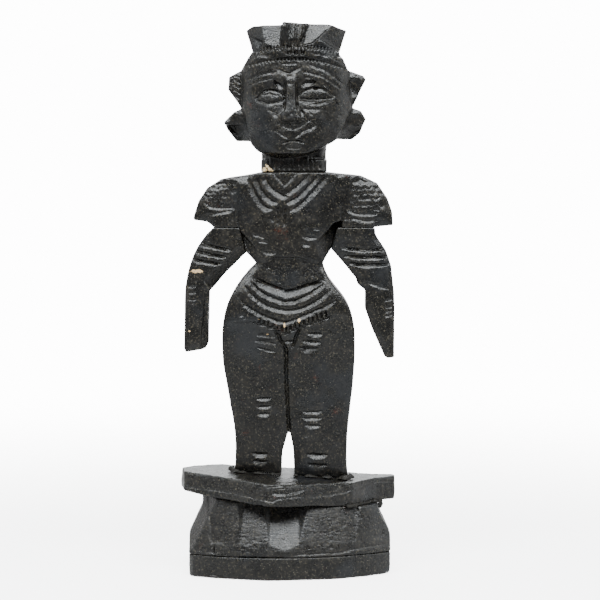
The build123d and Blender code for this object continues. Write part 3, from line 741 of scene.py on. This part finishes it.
# -------- slab, plinth and board
def carve_foot_slab():
    b = Blank("foot_slab", 0.36, ("body", "plinth_block"))
    c = Cuts(b)
    # the front is pared in two: an upper facet that leans back above a wandering line
    line = curve(
        (-43, 36), (-30, 35.6), (-19, 34.4), (-10.6, 33.2), (-6, 32.5),
        (-2.7, 33.7), (6.4, 33.7), (16.7, 33.6), (34.8, 36.2), (43, 35.6),
    )
    over = np.clip(b.Z - np.interp(b.x, [p[0] for p in line], [p[1] for p in line])[:, None], 0, 20)
    c.depth = np.maximum(c.depth, 0.16 * over)
    b.relief(c.depth)
    b.measure()
    b.scoops(9, 0.45, 51, (1.6, 1.2, 0.9))
    # the top's front edge has broken back along the grain in little ledges
    x, y, z = b.x[:, None, None], b.y[None, :, None], b.z[None, None, :]
    near = np.clip((15 - np.abs(x - 1)) / 6, 0, 1) * np.clip((-9 - y) / 4, 0, 1)
    near = near * np.clip((z - 36.6) / 2, 0, 1)
    ledge = 1.15  # from one to the next
    b.field += 0.3 * near * (1 + np.sin(2 * math.pi * (z + 0.16 * y + 0.012 * x * x) / ledge))
    b.smooth()
    fine = Cuts(b)
    fine.chip([(-6.6, 35.7), (0, 35.5), (6.8, 36.7)], 1.2, 0.8, 0.2)
    fine.groove(line, 1, 0.45, 0.05)
    fine.chip([(-14, 30.6), (-8, 31.4)], 1.2, 0.4)
    return last_marks(b, fine, count=90, seed=52, longest=(7,), coarse=0.008)


PLINTH_FACETS = (  # left and right edge, lower end, how steeply it sinks, how far it turns, lean
    (-31, -18.6, 14.2, 0, -0.07, -0.12),
    (-18.6, -7.3, 14.4, 0.12, -0.02, 0.1),
    (-7.3, 4.4, 12.6, 0.29, 0.01, 0.02),
    (4.4, 27.4, 14.6, 0.09, 0.012, 0.02),
    (27.4, 38.5, 15, 0, 0.08, 0.12),
)


def carve_plinth():
    b = Blank("plinth_block", 0.36, ("foot_slab", "base_board"))
    b.slice_off((-38.2, -4, 14), (-0.87, -0.4, 0.42))
    b.slice_off((42.2, 0, 14), (0.87, -0.4, 0.42))
    b.measure()
    b.scoops(9, 0.12, 61, (1.2, 1.2, 1.2))
    b.smooth()
    c = Cuts(b)
    uneven = 0.5 * wave(b.X, b.Z, 14, 64)
    for left, right, low, sink, turn, lean in PLINTH_FACETS:
        x = b.X - lean * (b.Z - 20)
        middle = (left + right) / 2
        end = low + 0.3 * np.abs(x - middle) * (sink > 0.2) + uneven
        outside = np.maximum(np.maximum(left - x, x - right), 0)
        pared = sink * (b.Z - end) + turn * (x - middle) - 0.9 * outside
        c.depth = np.where(b.Z > end, np.maximum(pared, c.depth), c.depth)
    b.relief(c.depth)
    fine = Cuts(b)
    # the line under the facets, a crack across it, and streaks of the knife in two of the facets
    line = curve(
        (-40, 11.4), (-27, 10.9), (-21, 9.9), (-11, 9.8), (-5, 9.6),
        (7, 10.8), (20, 11), (27, 12), (40, 12.7),
    )
    fine.chip(line, 1, 0.5, 0.03)
    fine.groove([(-29.6, 14), (-29.3, 9)], 0.7, 1.1, 0.1)
    rng = np.random.default_rng(62)
    for _ in range(14):
        x, z = rng.uniform(5, 20), rng.uniform(15.5, 20.5)
        end = (x + rng.uniform(4, 9), z + rng.uniform(-0.4, 0.2))
        fine.groove([(x, z), end], 0.6, rng.uniform(0.08, 0.18), 0.4)
    for x in np.arange(-12, -7.2, 0.8):
        fine.groove([(x, 15), (x + 0.2, 26)], 0.5, 0.14, 0.2)
    return last_marks(b, fine, count=70, seed=63, longest=(4,), coarse=0.008)


def carve_base_board():
    b = Blank("base_board", 0.36, ("plinth_block",))
    b.slice_off((40.2, -1, 1.6), (0.7, -0.4, -0.75))
    b.slice_off((-39.6, -4.6, 4), (-0.8, -0.6, 0))
    b.measure()
    b.scoops(9, 0.3, 71, (1.8, 1.2, 0.8))
    b.smooth()
    fine = Cuts(b)
    fine.chip([(-33, 1.4), (-30, 1.9), (-24, 1.2)], 1.4, 0.8, 0.2)
    return last_marks(b, fine, count=60, seed=72, longest=(7,), coarse=0.008)


# -------- filler and glue
def crumbly(node, cell, size, depth, seed, clear_of, blobs, room):
    """A rough lump on a CAD node, with more blobs beside it, kept clear of the pieces it sticks to."""
    b = Blank(node, cell, room=room)
    x, y, z = b.x[:, None, None], b.y[None, :, None], b.z[None, None, :]
    for at, radius in blobs:
        ball = np.sqrt((x - at[0]) ** 2 + (y - at[1]) ** 2 + (z - at[2]) ** 2) - radius
        np.minimum(b.field, ball, out=b.field)
    b.measure()
    b.scoops(size, depth, seed)
    b.scoops(size * 0.45, depth * 0.6, seed + 1)
    for other in clear_of:
        np.maximum(b.field, -b.beside(other), out=b.field)
    return b.finish("rough", 0.005)


def foot_beads():
    """Where filler was smeared along the front of both feet, on the tilted top of the slab."""
    rng = np.random.default_rng(81)
    for left, right in ((-22.5, -3), (3, 24.5)):
        for x in np.arange(left, right, 0.9):
            radius = rng.uniform(0.7, 1.3) + 0.5 * math.sin(0.9 * x) + 0.9 * (abs(x - 1) > 21.5)
            top = 40.7195 - 0.062 * (x + 8)  # the slab's top at the toes, lower towards +X
            yield (x, rng.uniform(0.4, 1.2), top - 0.2 * radius), radius


GLUE_BEADS = (
    ((-8.2, 1.6, 164.4), 1),
    ((-7.2, 1.4, 163.2), 1.1),
    ((-9.5, 1.6, 162.9), 1),
    ((-6.4, 1.6, 162.8), 0.8),
    ((-8.8, 1.4, 165.2), 0.7),
)


def slab_beads():
    """Filler squeezed into the joint under the slab's right-hand end."""
    rng = np.random.default_rng(83)
    for x in np.arange(24, 38.4, 0.9):
        radius = rng.uniform(1, 1.7)
        front = np.interp(x, (24, 26.3, 35.5, 43.6), (-5.2, -4, 9.5, 14.6))  # y of the slab's front edge
        yield (x, front - rng.uniform(0.1, 0.8), 28.5), radius
    yield (35.4, 8.6, 28.2), 2
    yield (36, 9.6, 27), 1.8


# -------- materials
class Shade:
    """The nodes of a material or world. Places are the piece's own, in metres, and sizes are in mm."""

    def __init__(self, owner):
        owner.use_nodes = True
        self.owner = owner
        self.tree = owner.node_tree
        self.shader = self.tree.nodes.get("Principled BSDF")
        self.place = self.add("TexCoord")["Object"]

    def feed(self, socket, value):
        if hasattr(value, "is_output"):
            self.tree.links.new(value, socket)
        else:
            socket.default_value = value

    def add(self, kind, inputs=(), **settings):
        """The outputs of a new node, made with these settings and its inputs fed."""
        node = self.tree.nodes.new("ShaderNode" + kind)
        for name, value in settings.items():
            setattr(node, name, value)
        for name, value in dict(inputs).items():
            self.feed(node.inputs[name], value)
        return node.outputs

    def finish(self, colour, rough, specular=0.5):
        self.feed(self.shader.inputs["Base Color"], colour)
        self.feed(self.shader.inputs["Roughness"], rough)
        self.feed(self.shader.inputs["Specular IOR Level"], specular)
        return self.owner

    def vector(self, operation, *values):
        return self.add("VectorMath", enumerate(values), operation=operation)

    def scaled(self, scale):
        return self.vector("MULTIPLY", self.place, scale)[0]

    def noise(self, size, detail=4, rough=0.55, place=None, shift=0):
        inputs = {"W": shift, "Scale": 1000 / size, "Detail": detail, "Roughness": rough}
        return self.add("TexNoise", {**inputs, "Vector": place or self.place}, noise_dimensions="4D")["Fac"]

    def cells(self, size):
        """How far each place is from the nearest of scattered points, as a share of their spacing."""
        return self.add("TexVoronoi", {"Scale": 1000 / size, "Vector": self.place})["Distance"]

    def ramp(self, value, low, high, to=(0.0, 1.0)):
        inputs = {"Value": value, "From Min": low, "From Max": high, "To Min": to[0], "To Max": to[1]}
        return self.add("MapRange", inputs, interpolation_type="SMOOTHSTEP")["Result"]

    def sum(self, a, b):
        return self.add("Math", {0: a, 1: b}, operation="ADD")[0]

    def times(self, a, b):
        return self.add("Math", {0: a, 1: b}, operation="MULTIPLY")[0]

    def mix(self, share, a, b):
        a, b = ((*c, 1) if isinstance(c, tuple) else c for c in (a, b))
        return self.add("Mix", {"Factor": share, "A": a, "B": b}, data_type="RGBA")["Result"]

    def bump(self, *layers):
        """Layers of (height, depth), one over the other."""
        inputs = {}
        for height, depth in layers:
            inputs.update({"Distance": depth * MM, "Height": height})
            inputs["Normal"] = self.add("Bump", inputs)["Normal"]
        self.feed(self.shader.inputs["Normal"], inputs["Normal"])

    def fleck(self, x, z, wide, tall):
        """1 inside a small ragged patch on the front at (x, z), fading to 0 outside."""
        shifted = self.vector("SUBTRACT", self.place, (x * MM, -4 * MM, z * MM))[0]
        shape = self.vector("MULTIPLY", shifted, (2 / (wide * MM), 90, 2 / (tall * MM)))[0]
        away = self.vector("LENGTH", shape)["Value"]
        ragged = self.sum(away, self.ramp(self.noise(1.2), 0.3, 0.7, (-0.6, 0.6)))
        return self.ramp(ragged, 1.1, 0.75)


def paint(name):
    return Shade(bpy.data.materials.new(name))


BARE = (0.33, 0.2, 0.09)  # the wood under the paint


def black_wood(name, grain, flecks):
    """Thin black paint on carved wood: the grain runs along one axis, the paint is worn and dusty, and
    bluish patches of painted sheen are laid into its colour.
    """
    s = paint(name)
    fibres = s.noise(0.8, 3.0, 0.6, s.scaled(grain))
    broad = s.noise(16.0, 5.0, 0.6)
    mottle = s.noise(3.2, 6.0, 0.7, shift=3.0)
    fine = s.noise(0.7, 3.0, 0.6, shift=5.0)
    colour = s.mix(s.ramp(broad, 0.35, 0.65), (0.002, 0.002, 0.0019), (0.0044, 0.0041, 0.0035))
    # olive-brown where the paint is thin
    thin = s.times(s.ramp(mottle, 0.48, 0.72), s.ramp(fibres, 0.35, 0.65, (0.3, 1.0)))
    colour = s.mix(s.times(thin, 0.8), colour, (0.0145, 0.0118, 0.008))
    # reddish rubs
    rub = s.times(s.ramp(s.noise(7.0, 5.0, 0.65, shift=9.0), 0.62, 0.76), s.ramp(fine, 0.4, 0.6))
    colour = s.mix(s.times(rub, 0.75), colour, (0.055, 0.016, 0.008))
    # edges rubbed down to a dull brown
    sharp = s.add("NewGeometry")["Pointiness"]
    edge = s.times(s.ramp(sharp, 0.53, 0.62), s.ramp(mottle, 0.42, 0.6))
    colour = s.mix(s.times(edge, 0.7), colour, (0.046, 0.038, 0.027))
    # painted sheen: bluish-grey patches in the colour that stand in for broad light reflected off smooth
    # paint, with less dust in them
    painted_sheen = s.ramp(s.noise(17.0, 3.0, 0.5, shift=21.0), 0.5, 0.66)
    colour = s.mix(s.times(painted_sheen, 0.7), colour, (0.0078, 0.0086, 0.0098))
    # a haze of olive dust caught in the texture
    specks = s.ramp(s.noise(0.75, 2.0, 0.6, shift=15.0), 0.56, 0.68)
    dust = s.times(specks, s.ramp(painted_sheen, 0.0, 1.0, (1.0, 0.15)))
    colour = s.mix(s.times(dust, 0.8), colour, (0.045, 0.039, 0.028))
    # pale specks
    speck = s.times(s.ramp(s.cells(1.1), 0.18, 0.1), s.ramp(s.noise(4.0, 2.0, 0.5, shift=12.0), 0.46, 0.56))
    colour = s.mix(s.times(speck, 0.6), colour, (0.115, 0.105, 0.08))
    rough = s.sum(s.ramp(mottle, 0.35, 0.7, (0.24, 0.4)), s.times(speck, 0.3))
    for place in flecks:
        bare = s.fleck(*place)
        colour = s.mix(bare, colour, s.mix(fibres, BARE, (0.46, 0.35, 0.2)))
        rough = s.sum(rough, s.times(bare, 0.3))
    s.bump((mottle, 0.24), (fibres, 0.17), (fine, 0.17))
    return s.finish(colour, rough, 0.32)


def bare_wood():
    """Pale unpainted wood of pegs and dowels, with fibres along them."""
    s = paint("bare_wood")
    fibres = s.noise(0.6, 4.0, 0.6, s.scaled((1, 1, 0.08)))
    rings = s.noise(2.5, 2.0, 0.5, s.scaled((1, 1, 0.1)), 4.0)
    colour = s.mix(s.ramp(fibres, 0.35, 0.65), BARE, (0.58, 0.4, 0.21))
    colour = s.mix(s.ramp(rings, 0.45, 0.6, (0.0, 0.5)), colour, (0.3, 0.17, 0.08))
    s.bump((fibres, 0.08))
    return s.finish(colour, s.ramp(fibres, 0.3, 0.7, (0.5, 0.75)))


def filler():
    """Black crumbly filler with grey grit in it."""
    s = paint("filler")
    crumbs = s.cells(0.7)
    lumps = s.noise(1.6, 5.0, 0.7)
    colour = s.mix(s.ramp(lumps, 0.4, 0.65), (0.003, 0.0028, 0.0025), (0.01, 0.0085, 0.006))
    colour = s.mix(s.ramp(crumbs, 0.12, 0.06, (0.0, 0.3)), colour, (0.12, 0.1, 0.07))
    s.bump((lumps, 0.3), (crumbs, 0.12))
    return s.finish(colour, s.ramp(lumps, 0.3, 0.7, (0.45, 0.85)), 0.22)


def glue():
    """Pale brittle glue, mixed with sawdust."""
    s = paint("glue")
    grit = s.noise(0.5, 4.0, 0.65)
    lumps = s.noise(1.4, 3.0, 0.6, shift=2.0)
    colour = s.mix(s.ramp(grit, 0.4, 0.65), (0.3, 0.2, 0.09), (0.56, 0.48, 0.31))
    colour = s.mix(s.ramp(lumps, 0.55, 0.7, (0.0, 0.8)), colour, (0.16, 0.1, 0.05))
    s.bump((grit, 0.15), (lumps, 0.2))
    return s.finish(colour, s.ramp(lumps, 0.3, 0.7, (0.35, 0.7)))


# the grain's fibres are drawn out along the axis with the small number
UPRIGHT, LEVEL = (1, 1, 0.14), (0.14, 1, 1)
FLECKS = {  # bare places in the paint: x, z, width and height
    "body": (
        (4.5, 103.2, 0.9, 2.2),
        (-1.4, 101.4, 0.6, 2.2),
        (-8.2, 97.4, 1.6, 0.8),
        (-11.6, 103.8, 0.6, 0.6),
    ),
    "right_arm": ((-36.4, 122.9, 4, 1.5), (-39.4, 98.8, 1, 0.6)),
    "foot_slab": ((-5.9, 29.8, 1.2, 2),),
}


def place(piece, node, slot, material):
    piece.data.materials.append(material)
    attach(piece, "root")
    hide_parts(node)


for node, carve, short, grain in (
    ("head", carve_head, "head", UPRIGHT),
    ("body", carve_body, "body", UPRIGHT),
    ("right_arm", carve_right_arm, "right_arm", UPRIGHT),
    ("left_arm", carve_left_arm, "left_arm", UPRIGHT),
    ("foot_slab", carve_foot_slab, "slab", LEVEL),
    ("plinth_block", carve_plinth, "plinth", LEVEL),
    ("base_board", carve_base_board, "board", LEVEL),
):
    place(carve(), node, "black_wood", black_wood("black_wood_" + short, grain, FLECKS.get(node, ())))
FILLER, GLUE, BARE_WOOD = filler(), glue(), bare_wood()
for node, slot, material, *how in (
    ("foot_filler", "filler", FILLER, 0.2, 1.5, 0.4, 82, ("body", "foot_slab"), foot_beads(), 2),
    ("plinth_filler", "filler", FILLER, 0.2, 1.5, 0.4, 84, ("plinth_block", "foot_slab"), slab_beads(), 15),
    ("neck_glue", "glue", GLUE, 0.12, 1, 0.5, 86, ("head", "body"), GLUE_BEADS, 1.5),
):
    place(crumbly(node, *how), node, slot, material)
for node in ("neck_peg", "right_arm_peg", "left_arm_peg", "foot_dowels", "base_pins"):
    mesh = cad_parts[node].data
    mesh.materials.clear()
    mesh.materials.append(BARE_WOOD)


# -------- floor, lights, camera
MIDDLE = (0, 0, 0.1)
WHITE = (1, 1, 1, 1)


def area(name, where, size, power):
    light = bpy.data.lights.new(name, "AREA")
    light.shape = "RECTANGLE"
    light.size, light.size_y = size
    light.energy = power
    light.color = (0.95, 0.985, 1.0)
    lamp = bpy.data.objects.new(name, light)
    lamp.location = where
    lamp.rotation_euler = (Vector(MIDDLE) - Vector(where)).to_track_quat("-Z", "Y").to_euler()
    scene.collection.objects.link(lamp)


def floor_paper():
    """White paper that fades into the pale surroundings away from the figure."""
    s = paint("floor")
    fade = s.ramp(s.vector("LENGTH", s.place)["Value"], 0.12, 0.7, (0.3, 1.0))
    # the black paint mirrors the darker room rather than the paper
    dim = s.times(s.add("LightPath")["Is Glossy Ray"], 0.2)
    clear = s.add("BsdfTransparent")[0]
    mixed = s.add("MixShader", {0: s.sum(dim, fade), 1: s.shader.outputs[0], 2: clear})
    s.feed(s.tree.nodes["Material Output"].inputs["Surface"], mixed[0])
    return s.finish((0.9, 0.9, 0.9, 1), 0.8, 0.1)


def studio():
    """A room that is dim in front of the figure and pale behind it, which lights its edges."""
    s = Shade(bpy.data.worlds.new("studio"))
    y = s.add("SeparateXYZ", {0: s.add("TexCoord")["Generated"]})["Y"]
    room = s.tree.nodes["Background"]
    s.feed(room.inputs["Color"], WHITE)
    s.feed(room.inputs["Strength"], s.ramp(y, 0.3, 0.9, (0.22, 1.2)))
    # what the camera sees is plain white
    seen = s.add("LightPath")["Is Camera Ray"]
    backdrop = s.add("Background", {"Color": WHITE, "Strength": 14.0})[0]
    mixed = s.add("MixShader", {0: seen, 1: room.outputs[0], 2: backdrop})
    s.feed(s.tree.nodes["World Output"].inputs["Surface"], mixed[0])
    return s.owner


floor_mesh = bpy.data.meshes.new("floor")
side = 0.9  # from the middle of the floor to each of its sides
corners = [(-side, -side, 0), (side, -side, 0), (side, side, 0), (-side, side, 0)]
floor_mesh.from_pydata(corners, [], [(0, 1, 2, 3)])
floor = bpy.data.objects.new("floor", floor_mesh)
scene.collection.objects.link(floor)
floor_mesh.materials.append(floor_paper())
scene.world = studio()

area("top_box", (0.0, -0.82, 1.08), (2.0, 0.45), 80)
area("left_box", (-1.25, -0.1, 0.45), (0.8, 1.0), 7)
area("right_box", (1.25, -0.1, 0.45), (0.8, 1.0), 10)
area("back_box", (0.0, 1.3, 1.0), (1.6, 0.8), 30)

EYE_X, EYE_HEIGHT, DISTANCE = 0.0048, 0.1784, 0.96
AIM_HEIGHT = 0.1112  # the middle of the figure
camera = bpy.data.cameras.new("camera")
camera.sensor_width = 36
camera.lens = 144
camera.clip_start, camera.clip_end = 0.05, 60
eye = bpy.data.objects.new("camera", camera)
eye.location = (EYE_X, -DISTANCE, EYE_HEIGHT)
aim = Vector((EYE_X, 0, AIM_HEIGHT))
eye.rotation_euler = (aim - eye.location).to_track_quat("-Z", "Y").to_euler()
scene.collection.objects.link(eye)
scene.camera = eye
